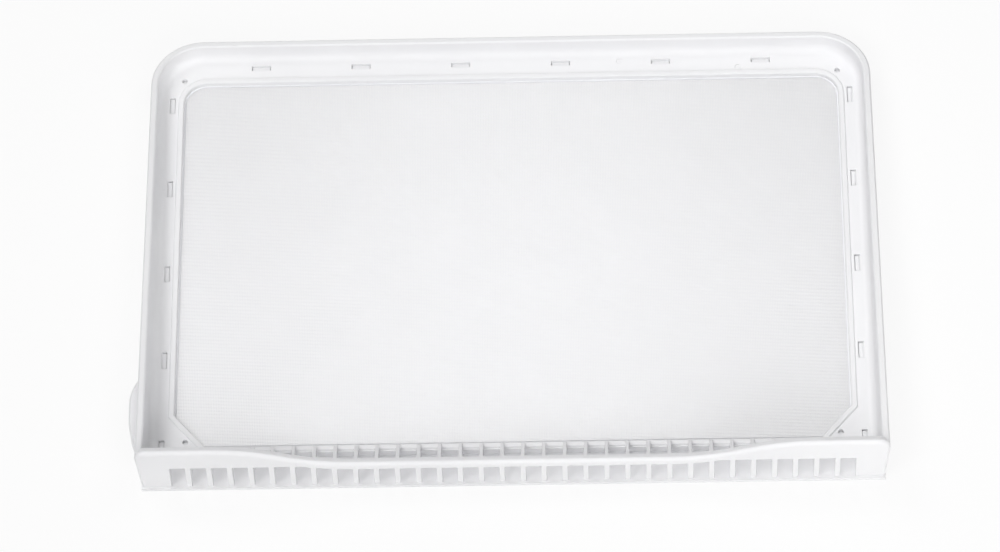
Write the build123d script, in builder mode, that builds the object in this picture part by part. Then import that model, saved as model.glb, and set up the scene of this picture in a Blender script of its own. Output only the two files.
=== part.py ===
"""Tumble dryer lint filter: a moulded tray with a mesh floor and a slotted bar along its front edge.

+X is to the right, +Y to the back and +Z up. The origin is the middle of the tray, on the surface
that it lies on.
"""
import os
from math import radians, tan

from build123d import *

# Tray, in millimetres
TRAY_WIDTH = 398.8  # outside, at the base
TRAY_DEPTH = 278.6  # from the foot rail in front to the back wall
WALL = 4.0
DRAFT = 3.5  # degrees that the walls lean outwards
BACK_CORNER_RADIUS = 28.0
BACK_RIM_HEIGHT = 18.0
FRONT_RIM_HEIGHT = 29.3  # where the rim starts to rise to the bar
BAR_RIM_HEIGHT = 32.4  # where the rim ends in the bar
RIM_RISE_LENGTH = 16.0
RIM_BEVEL = 0.8
FLOOR_TOP = 7.0
FLOOR_THICKNESS = 2.4
FOOT_FILLET = 4.6  # inside, where the walls meet the floor

# Front bar
BAR_HEIGHT = 36.2
BAR_WALL = 3.0
BAR_BASE_FLARE = 0.1  # how far the bar's ends stand out past the tray, at the base and at the top
BAR_TOP_FLARE = 2.3
BAR_CORNER_RADIUS = 6.0
SILL = 2.2  # thickness of the bar's bottom plate
FOOT_RAIL = 1.4  # how far the bottom plate stands out in front
GRIP_DEPTH = 5.6  # the thick edge along the top
GRIP_HEIGHT = 4.0
GRIP_ROUNDING = 2.0  # along its front
GRIP_SLOPE_DEPTH = 3.2  # the slope along its back
GRIP_SLOPE_DROP = 2.0
DIP_DEPTH = 14.7  # the finger dip in the top edge
DIP_FLAT = 170.0
DIP_SLOPE = 78.0

# Grille in the bar
SLOT_PITCH = 11.2
SLOT_WIDTH = 8.4
SLOT_TOP = 21.0
SLOT_END_MARGIN = 14.0  # least distance from the tray's side to the end slot
CHANNEL_DEPTH = 14.1  # from the bar's wall to the step up to the floor
STEP_WALL = 1.8
FIN_THICKNESS = 2.0
FIN_HEIGHT = 20.0  # at the bar's wall
FIN_REACH = 3.0  # how far the fins run on over the floor
FIN_TOE = 1.2  # their height there

# Mesh window in the floor
WINDOW_SIDE_MARGIN = 16.6
WINDOW_BACK_MARGIN = 20.3
WINDOW_FRONT_MARGIN = 4.0  # from the step
WINDOW_CORNER_RADIUS = 13.2
WINDOW_CUT_X = 17.0  # the cut-off front corners
WINDOW_CUT_Y = 20.0
LIP_WIDTH = 3.2
LIP_HEIGHT = 0.8
LIP_BEVEL = 0.5

# Mesh
MESH_THICKNESS = 0.6
MESH_GRIP = 3.7  # width of the edge that the retainer clamps
MESH_GAP_COUNT = 100
MESH_GAP_WIDTH = 1.8
MESH_EDGE = 0.8  # plain edge inside the window

# Retainer under the floor
RETAINER_THICKNESS = 2.4
RETAINER_FRONT = 4.5  # width of its front side
RETAINER_SETBACK = 0.5  # how far its opening stays behind the window's edge
RETAINER_CHAMFER = 0.6
FIT_GAP = 0.4  # round the retainer
CLIP_GAP = 0.2  # round the hooks and pins

# Snap hooks and their slots
HOOK_SLOT_LENGTH = 10.5
HOOK_SLOT_WIDTH = 3.0
HOOK_THICKNESS = 1.6
HOOK_CATCH = 0.6  # how far the hook's nose stands out
HOOK_NOSE = 0.3  # height of the nose at its tip
HOOK_FLAT = 0.4  # flat top, before the slope down to the nose
HOOK_LEDGE = 1.0  # height of the ledge in the slot that the nose catches on
HOOK_RECESS = 1.0  # the hook's top is this far below the floor
HOOK_SIDE_INSET = 0.5  # from the wall's inside fillet to the slot
HOOK_BACK_INSET = 0.6
SIDE_HOOKS = 5
SIDE_HOOK_FRONT_MARGIN = 22.0  # from the tray's front and back to the end hooks
SIDE_HOOK_BACK_MARGIN = 34.5
BACK_HOOKS = 6
BACK_HOOK_MARGIN = 59.4

# Corner pins
PIN_DIAMETER = 2.6
PIN_RECESS = 1.8  # the pin's top is this far below the floor
PIN_BACK_OUT = 2.0  # behind the window
PIN_FRONT_X = 6.4  # in from the window's front corner
PIN_FRONT_Y = 3.4

# Side bump that clicks into the housing
BUMP_PROUD = 6.4
BUMP_FLAT = 9.0
BUMP_RAMP_BACK = 19.5
BUMP_RAMP_FRONT = 24.5
BUMP_FRONT_MARGIN = 31.8  # from the tray's front to the flat
BUMP_BASE = 11.0
BUMP_TOP = 24.0
BUMP_WALL = 2.0
BUMP_BEVEL = 1.0

# Round ejector marks on the floor border: X, distance from the back and diameter
MARKS = [(127.5, 15.0, 3.8), (60.8, 9.7, 3.0)]
MARK_DEPTH = 0.3

# Places worked out from the sizes above
front_y = -TRAY_DEPTH / 2
back_y = TRAY_DEPTH / 2
half_width = TRAY_WIDTH / 2
face_y = front_y + FOOT_RAIL
bar_middle_y = face_y + BAR_WALL / 2
bar_back_y = face_y + BAR_WALL
grip_back_y = face_y + GRIP_DEPTH
step_y = bar_back_y + CHANNEL_DEPTH
step_back_y = step_y + STEP_WALL
fin_toe_y = step_y + FIN_REACH
floor_bottom = FLOOR_TOP - FLOOR_THICKNESS
inside_inset = WALL - FLOOR_TOP * tan(radians(DRAFT))
inside_half = half_width - inside_inset
inside_back_y = back_y - inside_inset

window_half = half_width - WINDOW_SIDE_MARGIN
window_back_y = back_y - WINDOW_BACK_MARGIN
window_front_y = step_y + WINDOW_FRONT_MARGIN

web_width = SLOT_PITCH - SLOT_WIDTH
slot_count = int((TRAY_WIDTH - 2 * SLOT_END_MARGIN + web_width) / SLOT_PITCH)
grille_half = (slot_count * SLOT_PITCH + web_width) / 2

mesh_bottom = floor_bottom - MESH_THICKNESS
retainer_bottom = mesh_bottom - RETAINER_THICKNESS
retainer_front_y = step_back_y + FIT_GAP

hook_x = inside_half - FOOT_FILLET - HOOK_SIDE_INSET - HOOK_SLOT_WIDTH / 2
hook_back_y = inside_back_y - FOOT_FILLET - HOOK_BACK_INSET - HOOK_SLOT_WIDTH / 2
side_hook_pitch = (TRAY_DEPTH - SIDE_HOOK_FRONT_MARGIN - SIDE_HOOK_BACK_MARGIN) / (SIDE_HOOKS - 1)
side_hook_ys = [front_y + SIDE_HOOK_FRONT_MARGIN + side_hook_pitch * i for i in range(SIDE_HOOKS)]
back_hook_pitch = (TRAY_WIDTH - 2 * BACK_HOOK_MARGIN) / (BACK_HOOKS - 1)
back_hook_xs = [BACK_HOOK_MARGIN - half_width + back_hook_pitch * i for i in range(BACK_HOOKS)]
hook_places = [Location((hook_x, y, 0)) for y in side_hook_ys]
hook_places += [Location((-hook_x, y, 0), (0, 0, 180)) for y in side_hook_ys]
hook_places += [Location((x, hook_back_y, 0), (0, 0, 90)) for x in back_hook_xs]

pin_back_y = window_back_y + PIN_BACK_OUT
pin_front_x = window_half - PIN_FRONT_X
pin_front_y = window_front_y + PIN_FRONT_Y
pin_places = [(window_half, pin_back_y), (-window_half, pin_back_y), (pin_front_x, pin_front_y)]
pin_places += [(-pin_front_x, pin_front_y)]


def tray_plan(inset, front):
    """The tray's outline at its base, moved in at the sides and the back, with round back corners."""
    back = back_y - inset
    with BuildSketch() as plan:
        with Locations((0, (front + back) / 2)):
            Rectangle(2 * (half_width - inset), back - front)
        fillet(plan.vertices().group_by(Axis.Y)[-1], BACK_CORNER_RADIUS - inset)
    return plan.sketch


def upright_faces(block):
    """The side faces of a straight block, which the draft then leans outwards."""
    return block.faces().filter_by(lambda f: abs(f.normal_at().Z) < 0.5)


def window_plan(growth):
    """The mesh window's outline, grown all round: round corners behind, cut-off corners in front."""
    with BuildSketch() as plan:
        with BuildLine():
            Polyline(
                (-window_half, window_back_y),
                (window_half, window_back_y),
                (window_half, window_front_y + WINDOW_CUT_Y),
                (window_half - WINDOW_CUT_X, window_front_y),
                (WINDOW_CUT_X - window_half, window_front_y),
                (-window_half, window_front_y + WINDOW_CUT_Y),
                close=True,
            )
        make_face()
        fillet(plan.vertices().group_by(Axis.Y)[-1], WINDOW_CORNER_RADIUS)
        if growth:
            offset(amount=growth, kind=Kind.INTERSECTION)
    return plan.sketch


def bar_front(drop, half_top, half_base, corner):
    """The bar from the front, with the finger dip in its top edge, lowered by drop."""
    low = BAR_HEIGHT - DIP_DEPTH - drop
    high = BAR_HEIGHT - drop
    dip_start = DIP_FLAT / 2
    dip_end = dip_start + DIP_SLOPE
    halfway = ((dip_start + dip_end) / 2, (low + high) / 2)
    with BuildSketch() as front:
        with BuildLine():
            Line((0, low), (dip_start, low))
            TangentArc((dip_start, low), halfway, tangent=(1, 0))
            TangentArc((dip_end, high), halfway, tangent=(-1, 0))
            Polyline((dip_end, high), (half_top, high), (half_base, 0), (0, 0))
            mirror(about=Plane.YZ)
        make_face()
        if corner:
            corners = front.vertices().group_by(Axis.Y)[-1].sort_by(Axis.X)
            fillet([corners[0], corners[-1]], corner)
    return front.sketch


# Inside of the tray, rounded where the walls meet the floor
with BuildPart() as tray_core:
    with BuildSketch(Plane.XY.offset(FLOOR_TOP)):
        add(tray_plan(inside_inset, front_y))
    extrude(amount=BAR_HEIGHT)
    draft(upright_faces(tray_core), Plane.XY.offset(FLOOR_TOP), -DRAFT)
    fillet(tray_core.faces().sort_by(Axis.Z)[0].edges().sort_by(Axis.Y)[1:], FOOT_FILLET)

# Front bar: a thin wall under a grip, rounded in front and sloped behind, on a foot rail
with BuildPart() as bar:
    with BuildSketch(Plane.XZ.offset(-face_y)):
        add(bar_front(0, half_width + BAR_TOP_FLARE, half_width + BAR_BASE_FLARE, BAR_CORNER_RADIUS))
    extrude(amount=-GRIP_DEPTH)
    fillet(bar.faces().sort_by(Axis.Y)[0].edges().sort_by(Axis.Z)[1:], GRIP_ROUNDING)
    grip_back = bar.faces().sort_by(Axis.Y)[-1]
    grip_edges = grip_back.edges().sort_by(Axis.Z)[1:]
    chamfer(grip_edges, GRIP_SLOPE_DROP, GRIP_SLOPE_DEPTH, reference=grip_back)
    with BuildSketch(Plane.XZ.offset(-bar_back_y)):
        add(bar_front(GRIP_HEIGHT, TRAY_WIDTH, TRAY_WIDTH, 0))
    extrude(amount=-GRIP_DEPTH, mode=Mode.SUBTRACT)
    with BuildSketch():
        with Locations((0, (front_y + bar_back_y) / 2)):
            Rectangle(2 * (half_width + BAR_BASE_FLARE), bar_back_y - front_y)
    extrude(amount=SILL)

# One channel between two fins, seen from the side
with BuildPart() as channel:
    with BuildSketch(Plane.YZ):
        with BuildLine():
            Polyline(
                (bar_back_y, SILL),
                (bar_back_y, BAR_HEIGHT),
                (fin_toe_y + FIN_REACH, BAR_HEIGHT),
                (fin_toe_y + FIN_REACH, FLOOR_TOP),
                (step_y, FLOOR_TOP),
                (step_y, SILL),
                close=True,
            )
        make_face()
    extrude(amount=(SLOT_PITCH - FIN_THICKNESS) / 2, both=True)

# Fins, the step behind them and the bottom plate of the bar
with BuildPart() as fins:
    with BuildSketch(Plane.YZ):
        with BuildLine():
            Polyline(
                (bar_middle_y, 0),
                (bar_middle_y, FIN_HEIGHT),
                (bar_back_y, FIN_HEIGHT),
                (fin_toe_y, FLOOR_TOP + FIN_TOE),
                (fin_toe_y, FLOOR_TOP - FLOOR_THICKNESS / 2),
                (step_back_y, FLOOR_TOP - FLOOR_THICKNESS / 2),
                (step_back_y, 0),
                close=True,
            )
        make_face()
    extrude(amount=grille_half, both=True)
    with GridLocations(SLOT_PITCH, 1, slot_count, 1):
        add(channel.part, mode=Mode.SUBTRACT)

# Raised lip round the mesh window
with BuildPart() as lip:
    with BuildSketch(Plane.XY.offset(FLOOR_TOP - FLOOR_THICKNESS / 2)):
        add(window_plan(LIP_WIDTH))
        add(window_plan(0), mode=Mode.SUBTRACT)
    extrude(amount=FLOOR_THICKNESS / 2 + LIP_HEIGHT)
    chamfer(lip.faces().sort_by(Axis.Z)[-1].edges(), LIP_BEVEL)

# Side bump, hollow from below
with BuildPart() as bump:
    flat_front_y = front_y + BUMP_FRONT_MARGIN
    flat_back_y = flat_front_y + BUMP_FLAT
    bump_x = -half_width - BUMP_PROUD
    root_x = -half_width + WALL / 2
    with BuildSketch(Plane.XY.offset(BUMP_BASE)) as bump_plan:
        with BuildLine():
            TangentArc((bump_x, flat_front_y), (root_x, flat_front_y - BUMP_RAMP_FRONT), tangent=(0, -1))
            Line((bump_x, flat_front_y), (bump_x, flat_back_y))
            TangentArc((bump_x, flat_back_y), (root_x, flat_back_y + BUMP_RAMP_BACK), tangent=(0, 1))
            Line((root_x, flat_back_y + BUMP_RAMP_BACK), (root_x, flat_front_y - BUMP_RAMP_FRONT))
        make_face()
    extrude(amount=BUMP_TOP - BUMP_BASE)
    chamfer(bump.faces().sort_by(Axis.Z)[-1].edges().sort_by(Axis.X)[:-1], BUMP_BEVEL)
    with BuildSketch(Plane.XY.offset(BUMP_BASE)):
        add(bump_plan.sketch)
        offset(amount=-BUMP_WALL, kind=Kind.INTERSECTION)
    extrude(amount=BUMP_TOP - BUMP_BASE - BUMP_WALL, mode=Mode.SUBTRACT)

# Slot for one hook, with the ledge on its outer side
with BuildPart() as hook_slot:
    ledge_top = floor_bottom + HOOK_LEDGE
    with BuildSketch(Plane.XZ):
        with BuildLine():
            Polyline(
                (-HOOK_SLOT_WIDTH / 2, 0),
                (-HOOK_SLOT_WIDTH / 2, FLOOR_TOP + LIP_HEIGHT),
                (HOOK_SLOT_WIDTH / 2, FLOOR_TOP + LIP_HEIGHT),
                (HOOK_SLOT_WIDTH / 2, ledge_top),
                (HOOK_THICKNESS + 2 * CLIP_GAP - HOOK_SLOT_WIDTH / 2, ledge_top),
                (HOOK_THICKNESS + 2 * CLIP_GAP - HOOK_SLOT_WIDTH / 2, 0),
                close=True,
            )
        make_face()
    extrude(amount=HOOK_SLOT_LENGTH / 2, both=True)

# One snap hook, with its nose on the ledge
with BuildPart() as hook:
    hook_in = CLIP_GAP - HOOK_SLOT_WIDTH / 2
    hook_out = hook_in + HOOK_THICKNESS
    hook_top = FLOOR_TOP - HOOK_RECESS
    with BuildSketch(Plane.XZ):
        with BuildLine():
            Polyline(
                (hook_in, mesh_bottom - RETAINER_THICKNESS / 2),
                (hook_in, hook_top),
                (hook_in + HOOK_FLAT, hook_top),
                (hook_out + HOOK_CATCH, ledge_top + HOOK_NOSE),
                (hook_out + HOOK_CATCH, ledge_top),
                (hook_out, ledge_top),
                (hook_out, mesh_bottom - RETAINER_THICKNESS / 2),
                close=True,
            )
        make_face()
    extrude(amount=HOOK_SLOT_LENGTH / 2 - 2 * CLIP_GAP, both=True)

# Frame, moulded in one piece
with BuildPart() as filter_frame:
    # Walls, lower at the back, with an eased rim
    with BuildSketch():
        add(tray_plan(0, bar_back_y))
    extrude(amount=BAR_HEIGHT)
    draft(upright_faces(filter_frame), Plane.XY, -DRAFT)
    with BuildSketch(Plane.YZ):
        rise_y = grip_back_y + RIM_RISE_LENGTH
        rim_slope = (FRONT_RIM_HEIGHT - BACK_RIM_HEIGHT) / (back_y - rise_y)
        with BuildLine():
            TangentArc((rise_y, FRONT_RIM_HEIGHT), (front_y, BAR_RIM_HEIGHT), tangent=(-1, rim_slope))
            Polyline(
                (rise_y, FRONT_RIM_HEIGHT),
                (back_y, BACK_RIM_HEIGHT),
                (TRAY_DEPTH, BACK_RIM_HEIGHT - rim_slope * back_y),
                (TRAY_DEPTH, 2 * BAR_HEIGHT),
                (front_y, 2 * BAR_HEIGHT),
                (front_y, BAR_RIM_HEIGHT),
            )
        make_face()
    extrude(amount=TRAY_WIDTH, both=True, mode=Mode.SUBTRACT)
    add(tray_core.part, mode=Mode.SUBTRACT)
    level_faces = filter_frame.faces().filter_by(lambda f: f.normal_at().Z > 0.8)
    rim_faces = level_faces.filter_by_position(Axis.Z, BACK_RIM_HEIGHT, BAR_HEIGHT)
    rim_edges = rim_faces.edges().filter_by(lambda e: abs(e.tangent_at(0.5).X) < 0.9 or e.center().Y > 0)
    chamfer(rim_edges, RIM_BEVEL)

    # Recess under the floor for the retainer, and the opening in front for the channels
    with BuildSketch():
        add(tray_plan(WALL, bar_back_y))
    extrude(amount=floor_bottom, mode=Mode.SUBTRACT)
    with BuildSketch():
        with Locations((0, (bar_back_y + step_y + STEP_WALL / 2) / 2)):
            Rectangle(2 * grille_half - web_width, CHANNEL_DEPTH + STEP_WALL / 2)
    extrude(amount=BAR_HEIGHT, mode=Mode.SUBTRACT)

    # Front bar with its slots and fins
    add(fins.part)
    add(bar.part)
    with BuildSketch(Plane.XZ.offset(-bar_back_y)):
        with Locations((0, (SILL + SLOT_TOP) / 2)):
            with GridLocations(SLOT_PITCH, 1, slot_count, 1):
                Rectangle(SLOT_WIDTH, SLOT_TOP - SILL)
        add(bar_front(GRIP_HEIGHT, TRAY_WIDTH, TRAY_WIDTH, 0), mode=Mode.INTERSECT)
    extrude(amount=2 * BAR_WALL, mode=Mode.SUBTRACT)

    # Mesh window
    with BuildSketch():
        add(window_plan(0))
    extrude(amount=BAR_HEIGHT, mode=Mode.SUBTRACT)
    add(lip.part)

    # Hook slots, pin holes, ejector marks and the side bump
    with Locations(hook_places):
        add(hook_slot.part, mode=Mode.SUBTRACT)
    with BuildSketch(Plane.XY.offset(floor_bottom)):
        with Locations(pin_places):
            Circle(PIN_DIAMETER / 2 + CLIP_GAP)
    extrude(amount=FLOOR_THICKNESS, mode=Mode.SUBTRACT)
    with BuildSketch(Plane.XY.offset(FLOOR_TOP)):
        for mark_x, mark_back, mark_diameter in MARKS:
            with Locations((mark_x, back_y - mark_back)):
                Circle(mark_diameter / 2)
    extrude(amount=-MARK_DEPTH, mode=Mode.SUBTRACT)
    add(bump.part)

# Mesh, drawn as threads with long gaps between them
with BuildPart() as mesh_screen:
    with BuildSketch(Plane.XY.offset(mesh_bottom)):
        add(window_plan(MESH_GRIP))
        with Locations((0, retainer_front_y + TRAY_DEPTH / 2)):
            Rectangle(TRAY_WIDTH, TRAY_DEPTH, mode=Mode.INTERSECT)
    extrude(amount=MESH_THICKNESS)
    gap_pitch = 2 * (window_half - MESH_EDGE) / MESH_GAP_COUNT
    with BuildSketch(Plane.XY.offset(mesh_bottom)):
        with GridLocations(gap_pitch, 1, MESH_GAP_COUNT, 1):
            Rectangle(MESH_GAP_WIDTH, TRAY_DEPTH)
        add(window_plan(-MESH_EDGE), mode=Mode.INTERSECT)
    extrude(amount=MESH_THICKNESS, mode=Mode.SUBTRACT)

# Retainer ring that clamps the mesh against the floor from below
with BuildPart() as mesh_retainer:
    with BuildSketch(Plane.XY.offset(retainer_bottom)):
        add(tray_plan(WALL + FIT_GAP, bar_back_y + FIT_GAP))
        with Locations((0, (bar_back_y + retainer_front_y) / 2)):
            Rectangle(2 * (grille_half + FIT_GAP), retainer_front_y - bar_back_y, mode=Mode.SUBTRACT)
        with BuildSketch(mode=Mode.SUBTRACT):
            add(window_plan(RETAINER_SETBACK))
            with Locations((0, retainer_front_y + RETAINER_FRONT + TRAY_DEPTH / 2)):
                Rectangle(TRAY_WIDTH, TRAY_DEPTH, mode=Mode.INTERSECT)
    extrude(amount=RETAINER_THICKNESS)
    chamfer(mesh_retainer.faces().sort_by(Axis.Z)[0].edges(), RETAINER_CHAMFER)
    with Locations(hook_places):
        add(hook.part)
    with BuildSketch(Plane.XY.offset(mesh_bottom)):
        with Locations(pin_places):
            Circle(PIN_DIAMETER / 2)
    extrude(amount=FLOOR_TOP - PIN_RECESS - mesh_bottom)

filter_frame.part.label = "filter_frame"
mesh_screen.part.label = "mesh_screen"
mesh_retainer.part.label = "mesh_retainer"

os.makedirs("parts", exist_ok=True)
export_step(filter_frame.part, "parts/filter_frame.step")
export_step(mesh_screen.part, "parts/mesh_screen.step")
export_step(mesh_retainer.part, "parts/mesh_retainer.step")
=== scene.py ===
"""Looks of the tumble dryer lint filter: white plastic, a mesh of single threads, studio light."""
import math

import bmesh
import bpy
from mathutils import Matrix, Vector


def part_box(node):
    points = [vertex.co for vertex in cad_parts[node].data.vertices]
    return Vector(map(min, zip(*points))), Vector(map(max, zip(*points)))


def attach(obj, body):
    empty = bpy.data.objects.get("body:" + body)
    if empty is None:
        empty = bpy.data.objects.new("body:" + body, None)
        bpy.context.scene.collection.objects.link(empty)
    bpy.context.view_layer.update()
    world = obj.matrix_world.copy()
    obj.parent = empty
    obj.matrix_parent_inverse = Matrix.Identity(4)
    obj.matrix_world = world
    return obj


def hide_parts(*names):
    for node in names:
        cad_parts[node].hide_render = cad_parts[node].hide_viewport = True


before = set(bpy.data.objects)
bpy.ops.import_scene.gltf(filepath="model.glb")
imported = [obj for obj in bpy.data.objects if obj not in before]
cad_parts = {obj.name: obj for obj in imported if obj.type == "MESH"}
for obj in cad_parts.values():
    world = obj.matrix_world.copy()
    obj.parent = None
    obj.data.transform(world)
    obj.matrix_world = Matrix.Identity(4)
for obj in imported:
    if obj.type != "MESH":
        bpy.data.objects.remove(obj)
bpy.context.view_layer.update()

MM = 0.001

# Camera, fitted to the photograph
IMAGE_WIDTH = 1000
FOCAL_PIXELS = 5496.4
SENSOR_WIDTH = 36.0
CAMERA_TARGET = Vector((-6.632 * MM, -6.77 * MM, 0.0))
CAMERA_DISTANCE = 3.0189
CAMERA_ELEVATION = math.radians(58.0)
CAMERA_YAW = math.radians(2.163)
CAMERA_ROLL = math.radians(-2.787)
CAMERA_REACH = 50.0

# Mesh: threads in two layers that touch, welded into a plain edge
THREAD_PITCH = 0.9 * MM
THREAD_WIDTH = 0.24 * MM
THREAD_SIDES = 8
SHEET_CORNER = 16.9 * MM
SHEET_CUT_X = 17.4 * MM
SHEET_CUT_Y = 20.4 * MM
SHEET_EDGE = 4.5 * MM
SHEET_FRONT_EDGE = 2.6 * MM
CORNER_STEPS = 12
WELD = 1.3 * MM

# Materials. A noise is its scale per metre and its detail, a bump its depth and its strength
NOISE_LOW = 0.3
NOISE_HIGH = 0.7
PLASTIC_PALE = (0.88, 0.88, 0.89)
PLASTIC_DEEP = (0.85, 0.85, 0.865)
PLASTIC_CLOUDS = (14.0, 2.0)
PLASTIC_GLOSS = (60.0, 3.0)
PLASTIC_ROUGHNESS = (0.38, 0.5)
PLASTIC_GRAIN = (1400.0, 2.0)
PLASTIC_GRAIN_BUMP = (0.05 * MM, 0.25)
PLASTIC_SAG = (30.0, 1.0)
PLASTIC_SAG_BUMP = (0.25 * MM, 0.3)
PLASTIC_IOR = 1.49
EDGE_RADIUS = 0.5 * MM
EDGE_SAMPLES = 4
EDGE_TURN = 0.8
# Painted highlight on the edges: the noise of its patches, its largest share, and how much lighter
# the edge colour is
EDGE_HIGHLIGHT_PATCHES = (160.0, 3.0)
EDGE_HIGHLIGHT_MOST = 0.6
EDGE_HIGHLIGHT_GAIN = 1.03
THREAD_PALE = (0.95, 0.95, 0.975)
THREAD_DEEP = (0.92, 0.92, 0.945)
THREAD_CLOUDS = (25.0, 3.0)
THREAD_GLOSS = (220.0, 2.0)
THREAD_ROUGHNESS = (0.42, 0.58)
THREAD_GRAIN = (2400.0, 1.0)
THREAD_GRAIN_BUMP = (0.03 * MM, 0.3)
THREAD_IOR = 1.5

# The colour sockets of a mix node
MIX_FIRST = 6
MIX_SECOND = 7
MIX_RESULT = 2

# Floor and world
FLOOR_SIZE = 6.0
FLOOR_DROP = 0.05 * MM
FLOOR_COLOUR = (0.92, 0.92, 0.92, 1.0)
FLOOR_ROUGHNESS = 0.9
FLOOR_LIFT = 0.85
WORLD_COLOUR = (1.0, 1.0, 1.0, 1.0)
WORLD_LEVEL = 0.1

# White lamps that face the origin: name, place, width, power in watts
LAMPS = [
    ("key_lamp", (-2.05, -2.05, 3.45), 2.0, 66.0),
    ("front_lamp", (0.0, -3.9, 2.25), 2.0, 36.0),
    ("right_front_lamp", (1.95, -3.38, 2.25), 2.0, 36.0),
    ("back_lamp", (-2.05, 2.05, 3.45), 2.0, 50.0),
    ("near_right_lamp", (0.35, 0.35, 0.87), 0.5, 1.2),
    ("near_lamp", (0.12, -0.05, 0.6), 0.4, 0.62),
    ("low_right_lamp", (0.5, -0.5, 0.15), 0.2, 0.48),
]


def new_material(name):
    """A material with an empty node tree, its shader and its output."""
    material = bpy.data.materials.new(name)
    material.use_nodes = True
    tree = material.node_tree
    tree.nodes.clear()
    output = tree.nodes.new("ShaderNodeOutputMaterial")
    shader = tree.nodes.new("ShaderNodeBsdfPrincipled")
    tree.links.new(shader.outputs["BSDF"], output.inputs["Surface"])
    return material, tree, shader


def object_coordinates(tree):
    """The object's own coordinates, in metres."""
    return tree.nodes.new("ShaderNodeTexCoord").outputs["Object"]


def noise(tree, coordinates, scale, detail):
    """A noise texture on these coordinates."""
    node = tree.nodes.new("ShaderNodeTexNoise")
    node.inputs["Scale"].default_value = scale
    node.inputs["Detail"].default_value = detail
    tree.links.new(coordinates, node.inputs["Vector"])
    return node.outputs["Fac"]


def spread(tree, value, low, high):
    """The range where a noise mostly lies, spread from low to high."""
    node = tree.nodes.new("ShaderNodeMapRange")
    node.inputs["From Min"].default_value = NOISE_LOW
    node.inputs["From Max"].default_value = NOISE_HIGH
    node.inputs["To Min"].default_value = low
    node.inputs["To Max"].default_value = high
    tree.links.new(value, node.inputs["Value"])
    return node.outputs["Result"]


def mixed(tree, factor, first, second):
    """A colour between two colours or colour outputs."""
    node = tree.nodes.new("ShaderNodeMix")
    node.data_type = "RGBA"
    tree.links.new(factor, node.inputs["Factor"])
    for socket, colour in ((node.inputs[MIX_FIRST], first), (node.inputs[MIX_SECOND], second)):
        if isinstance(colour, tuple):
            socket.default_value = colour + (1.0,)
        else:
            tree.links.new(colour, socket)
    return node.outputs[MIX_RESULT]


def calculated(tree, operation, first, second):
    """A sum, product or the like of two value outputs."""
    node = tree.nodes.new("ShaderNodeMath")
    node.operation = operation
    tree.links.new(first, node.inputs[0])
    tree.links.new(second, node.inputs[1])
    return node.outputs["Value"]


def bump(tree, height, distance, strength, normal=None):
    """A bump of that depth in metres, on top of another normal."""
    node = tree.nodes.new("ShaderNodeBump")
    node.inputs["Distance"].default_value = distance
    node.inputs["Strength"].default_value = strength
    tree.links.new(height, node.inputs["Height"])
    if normal is not None:
        tree.links.new(normal, node.inputs["Normal"])
    return node.outputs["Normal"]


def eased_normal(tree):
    """The surface's normal with its edges eased."""
    node = tree.nodes.new("ShaderNodeBevel")
    node.samples = EDGE_SAMPLES
    node.inputs["Radius"].default_value = EDGE_RADIUS
    return node.outputs["Normal"]


def edge_share(tree, eased):
    """1 at an edge, where the eased normal turns away from the surface's own, and 0 elsewhere."""
    surface = tree.nodes.new("ShaderNodeNewGeometry")
    turn = tree.nodes.new("ShaderNodeVectorMath")
    turn.operation = "DOT_PRODUCT"
    tree.links.new(eased, turn.inputs[0])
    tree.links.new(surface.outputs["Normal"], turn.inputs[1])
    share = tree.nodes.new("ShaderNodeMapRange")
    share.inputs["From Min"].default_value = 1.0
    share.inputs["From Max"].default_value = EDGE_TURN
    tree.links.new(turn.outputs["Value"], share.inputs["Value"])
    return share.outputs["Result"]


def plastic():
    """Satin white moulding: soft clouds in the white, eased edges with a patchy painted highlight,
    a fine grain.
    """
    material, tree, shader = new_material("white_plastic")
    place = object_coordinates(tree)
    eased = eased_normal(tree)
    # Painted highlight: the edges are made lighter in noisy patches
    highlight_patches = spread(tree, noise(tree, place, *EDGE_HIGHLIGHT_PATCHES), 0.0, EDGE_HIGHLIGHT_MOST)
    edge_highlight_share = calculated(tree, "MULTIPLY", edge_share(tree, eased), highlight_patches)
    cloud = spread(tree, noise(tree, place, *PLASTIC_CLOUDS), 0.0, 1.0)
    white = mixed(tree, cloud, PLASTIC_DEEP, PLASTIC_PALE)
    # The painted highlight's colour: the pale white made a little lighter
    painted_edge_highlight = tuple(min(1.0, c * EDGE_HIGHLIGHT_GAIN) for c in PLASTIC_PALE)
    tree.links.new(mixed(tree, edge_highlight_share, white, painted_edge_highlight), shader.inputs["Base Color"])
    gloss = spread(tree, noise(tree, place, *PLASTIC_GLOSS), *PLASTIC_ROUGHNESS)
    tree.links.new(gloss, shader.inputs["Roughness"])
    grain = bump(tree, noise(tree, place, *PLASTIC_GRAIN), *PLASTIC_GRAIN_BUMP, eased)
    sag = bump(tree, noise(tree, place, *PLASTIC_SAG), *PLASTIC_SAG_BUMP, grain)
    tree.links.new(sag, shader.inputs["Normal"])
    shader.inputs["IOR"].default_value = PLASTIC_IOR
    return material


def thread_white():
    """White threads: a faint change of colour and gloss along them, and a fine grain."""
    material, tree, shader = new_material("mesh_white")
    place = object_coordinates(tree)
    cloud = spread(tree, noise(tree, place, *THREAD_CLOUDS), 0.0, 1.0)
    tree.links.new(mixed(tree, cloud, THREAD_DEEP, THREAD_PALE), shader.inputs["Base Color"])
    gloss = spread(tree, noise(tree, place, *THREAD_GLOSS), *THREAD_ROUGHNESS)
    tree.links.new(gloss, shader.inputs["Roughness"])
    grain = bump(tree, noise(tree, place, *THREAD_GRAIN), *THREAD_GRAIN_BUMP)
    tree.links.new(grain, shader.inputs["Normal"])
    shader.inputs["IOR"].default_value = THREAD_IOR
    return material


def paint(obj, material):
    """The material as the object's only one."""
    obj.data.materials.clear()
    obj.data.materials.append(material)


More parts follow.
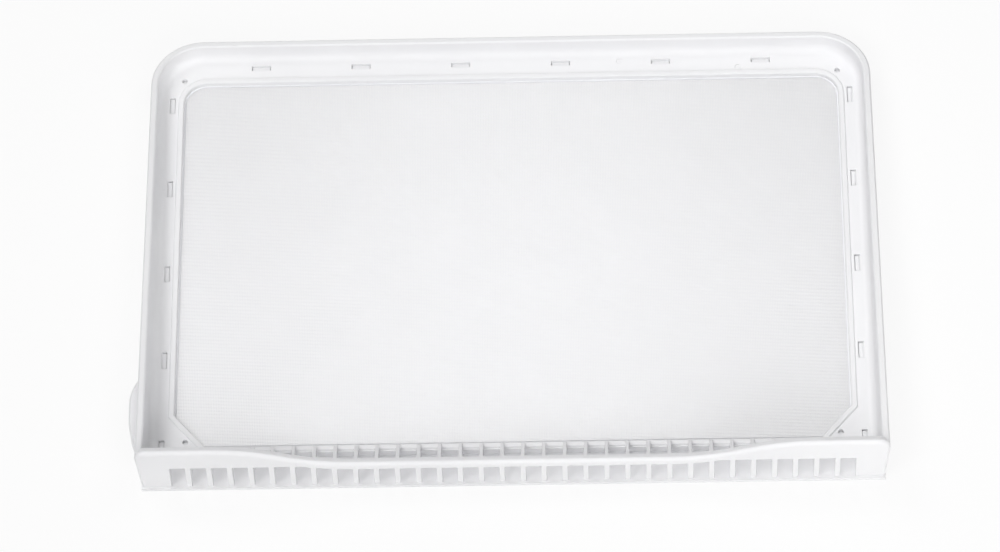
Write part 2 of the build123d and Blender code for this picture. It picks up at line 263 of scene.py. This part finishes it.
def add_thread(mesh, start, end, across, width, height):
    """One closed thread with an oval section, from start to end."""
    rings = []
    for centre in (start, end):
        ring = []
        for i in range(THREAD_SIDES):
            angle = 2 * math.pi * (i + 0.5) / THREAD_SIDES
            sideways = across * (math.cos(angle) * width / 2)
            upwards = Vector((0, 0, math.sin(angle) * height / 2))
            ring.append(mesh.verts.new(centre + sideways + upwards))
        rings.append(ring)
    for i in range(THREAD_SIDES):
        j = (i + 1) % THREAD_SIDES
        side = mesh.faces.new((rings[0][i], rings[0][j], rings[1][j], rings[1][i]))
        side.smooth = True
    mesh.faces.new(list(reversed(rings[0])))
    mesh.faces.new(rings[1])


def sheet_outline(edge, front_edge, low, high):
    """The sheet's outline, moved in: round corners behind, cut-off corners in front."""
    half = high[0] - edge
    back = high[1] - edge
    radius = SHEET_CORNER - edge
    slant = math.hypot(SHEET_CUT_X, SHEET_CUT_Y)
    side_y = low[1] + SHEET_CUT_Y + edge * (slant - SHEET_CUT_Y) / SHEET_CUT_X
    cut_in = (edge * slant + (SHEET_CUT_Y - front_edge) * SHEET_CUT_X) / SHEET_CUT_Y
    right = [(high[0] - cut_in, low[1] + front_edge), (half, side_y)]
    for i in range(CORNER_STEPS + 1):
        angle = math.pi / 2 * i / CORNER_STEPS
        x = half - radius + radius * math.cos(angle)
        y = back - radius + radius * math.sin(angle)
        right.append((x, y))
    return right + [(-x, y) for x, y in reversed(right)]


def add_edge(mesh, low, high):
    """The plain edge of the sheet, as one closed band."""
    outer = sheet_outline(0.0, 0.0, low, high)
    inner = sheet_outline(SHEET_EDGE, SHEET_FRONT_EDGE, low, high)
    rings = []
    for line, z in ((outer, low[2]), (outer, high[2]), (inner, high[2]), (inner, low[2])):
        rings.append([mesh.verts.new((x, y, z)) for x, y in line])
    for here, there in zip(rings, rings[1:] + rings[:1]):
        for i in range(len(outer)):
            j = (i + 1) % len(outer)
            mesh.faces.new((here[i], here[j], there[j], there[i]))


def half_width_at(y, low, high):
    """Half the sheet's width at y."""
    into_corner = y - (high[1] - SHEET_CORNER)
    if into_corner > 0:
        return high[0] - SHEET_CORNER + math.sqrt(SHEET_CORNER ** 2 - into_corner ** 2)
    from_front = min(y - low[1], SHEET_CUT_Y)
    return high[0] - SHEET_CUT_X * (1 - from_front / SHEET_CUT_Y)


def ends_at(x, low, high):
    """The sheet's front and back at x."""
    into_corner = max(0.0, abs(x) - (high[0] - SHEET_CORNER))
    into_cut = max(0.0, abs(x) - (high[0] - SHEET_CUT_X))
    back = high[1] - SHEET_CORNER + math.sqrt(SHEET_CORNER ** 2 - into_corner ** 2)
    return low[1] + SHEET_CUT_Y * into_cut / SHEET_CUT_X, back


def places(start, end):
    """Thread places at the pitch, the same distance from both ends."""
    count = int((end - start - THREAD_WIDTH) / THREAD_PITCH) + 1
    first = (start + end - (count - 1) * THREAD_PITCH) / 2
    return [first + i * THREAD_PITCH for i in range(count)]


def woven_mesh():
    """The mesh: threads along the tray below and across it above, their ends in the plain edge."""
    low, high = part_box("mesh_screen")
    height = (high[2] - low[2]) / 2
    mesh = bmesh.new()
    add_edge(mesh, low, high)
    for x in places(low[0] + SHEET_EDGE, high[0] - SHEET_EDGE):
        front, back = ends_at(x, low, high)
        z = low[2] + height / 2
        start, end = Vector((x, front + WELD, z)), Vector((x, back - WELD, z))
        add_thread(mesh, start, end, Vector((1, 0, 0)), THREAD_WIDTH, height)
    for y in places(low[1] + SHEET_FRONT_EDGE, high[1] - SHEET_EDGE):
        half = half_width_at(y, low, high) - WELD
        z = high[2] - height / 2
        start, end = Vector((-half, y, z)), Vector((half, y, z))
        add_thread(mesh, start, end, Vector((0, -1, 0)), THREAD_WIDTH, height)
    bmesh.ops.recalc_face_normals(mesh, faces=mesh.faces)
    data = bpy.data.meshes.new("mesh_threads")
    mesh.to_mesh(data)
    mesh.free()
    threads = bpy.data.objects.new("mesh_threads", data)
    bpy.context.scene.collection.objects.link(threads)
    return threads


def add_camera():
    """The photograph's camera."""
    back = Vector((
        math.sin(CAMERA_YAW) * math.cos(CAMERA_ELEVATION),
        -math.cos(CAMERA_YAW) * math.cos(CAMERA_ELEVATION),
        math.sin(CAMERA_ELEVATION),
    ))
    level = Vector((0, 0, 1)).cross(back).normalized()
    upright = back.cross(level)
    right = math.cos(CAMERA_ROLL) * level + math.sin(CAMERA_ROLL) * upright
    up = -math.sin(CAMERA_ROLL) * level + math.cos(CAMERA_ROLL) * upright
    data = bpy.data.cameras.new("camera")
    data.sensor_fit = "HORIZONTAL"
    data.sensor_width = SENSOR_WIDTH
    data.lens = FOCAL_PIXELS / IMAGE_WIDTH * SENSOR_WIDTH
    data.clip_end = CAMERA_REACH
    camera = bpy.data.objects.new("camera", data)
    turn = Matrix((right, up, back)).transposed().to_4x4()
    camera.matrix_world = Matrix.Translation(CAMERA_TARGET + back * CAMERA_DISTANCE) @ turn
    bpy.context.scene.collection.objects.link(camera)
    bpy.context.scene.camera = camera


def seen_rays(tree):
    """1 for what the camera sees, straight, in a gloss or through a clear part."""
    path = tree.nodes.new("ShaderNodeLightPath").outputs
    straight = calculated(tree, "MAXIMUM", path["Is Camera Ray"], path["Is Glossy Ray"])
    return calculated(tree, "MAXIMUM", straight, path["Is Transmission Ray"])


def add_floor():
    """A pale floor that the camera sees near white, with the object's shadow on it."""
    half = FLOOR_SIZE / 2
    corners = [(-half, -half), (half, -half), (half, half), (-half, half)]
    data = bpy.data.meshes.new("floor")
    data.from_pydata([(x, y, -FLOOR_DROP) for x, y in corners], [], [(0, 1, 2, 3)])
    floor = bpy.data.objects.new("floor", data)
    bpy.context.scene.collection.objects.link(floor)
    material, tree, shader = new_material("floor_white")
    shader.inputs["Base Color"].default_value = FLOOR_COLOUR
    shader.inputs["Roughness"].default_value = FLOOR_ROUGHNESS
    shader.inputs["Specular IOR Level"].default_value = 0.0
    white = tree.nodes.new("ShaderNodeEmission")
    lift = tree.nodes.new("ShaderNodeMath")
    lift.operation = "MULTIPLY"
    lift.inputs[1].default_value = FLOOR_LIFT
    tree.links.new(seen_rays(tree), lift.inputs[0])
    blend = tree.nodes.new("ShaderNodeMixShader")
    tree.links.new(lift.outputs["Value"], blend.inputs["Fac"])
    tree.links.new(shader.outputs["BSDF"], blend.inputs[1])
    tree.links.new(white.outputs["Emission"], blend.inputs[2])
    output = next(n for n in tree.nodes if n.type == "OUTPUT_MATERIAL")
    tree.links.new(blend.outputs["Shader"], output.inputs["Surface"])
    paint(floor, material)


def add_world():
    """An even soft light from all round, white where the camera sees it."""
    world = bpy.data.worlds.new("studio")
    world.use_nodes = True
    tree = world.node_tree
    tree.nodes.clear()
    output = tree.nodes.new("ShaderNodeOutputWorld")
    around = tree.nodes.new("ShaderNodeBackground")
    around.inputs["Strength"].default_value = WORLD_LEVEL
    white = tree.nodes.new("ShaderNodeBackground")
    for light in (around, white):
        light.inputs["Color"].default_value = WORLD_COLOUR
    blend = tree.nodes.new("ShaderNodeMixShader")
    tree.links.new(seen_rays(tree), blend.inputs["Fac"])
    tree.links.new(around.outputs["Background"], blend.inputs[1])
    tree.links.new(white.outputs["Background"], blend.inputs[2])
    tree.links.new(blend.outputs["Shader"], output.inputs["Surface"])
    bpy.context.scene.world = world


def add_lamps():
    """Soft square lamps."""
    for name, place, width, power in LAMPS:
        data = bpy.data.lights.new(name, "AREA")
        data.shape = "SQUARE"
        data.size = width
        data.energy = power
        lamp = bpy.data.objects.new(name, data)
        lamp.location = place
        lamp.rotation_euler = (-Vector(place)).to_track_quat("-Z", "Y").to_euler()
        bpy.context.scene.collection.objects.link(lamp)


bpy.context.scene.view_settings.view_transform = "Standard"
add_camera()
add_world()
add_lamps()
add_floor()

white_plastic = plastic()
for node in ("filter_frame", "mesh_retainer"):
    paint(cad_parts[node], white_plastic)

threads = woven_mesh()
paint(threads, thread_white())
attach(threads, "root")
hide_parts("mesh_screen")
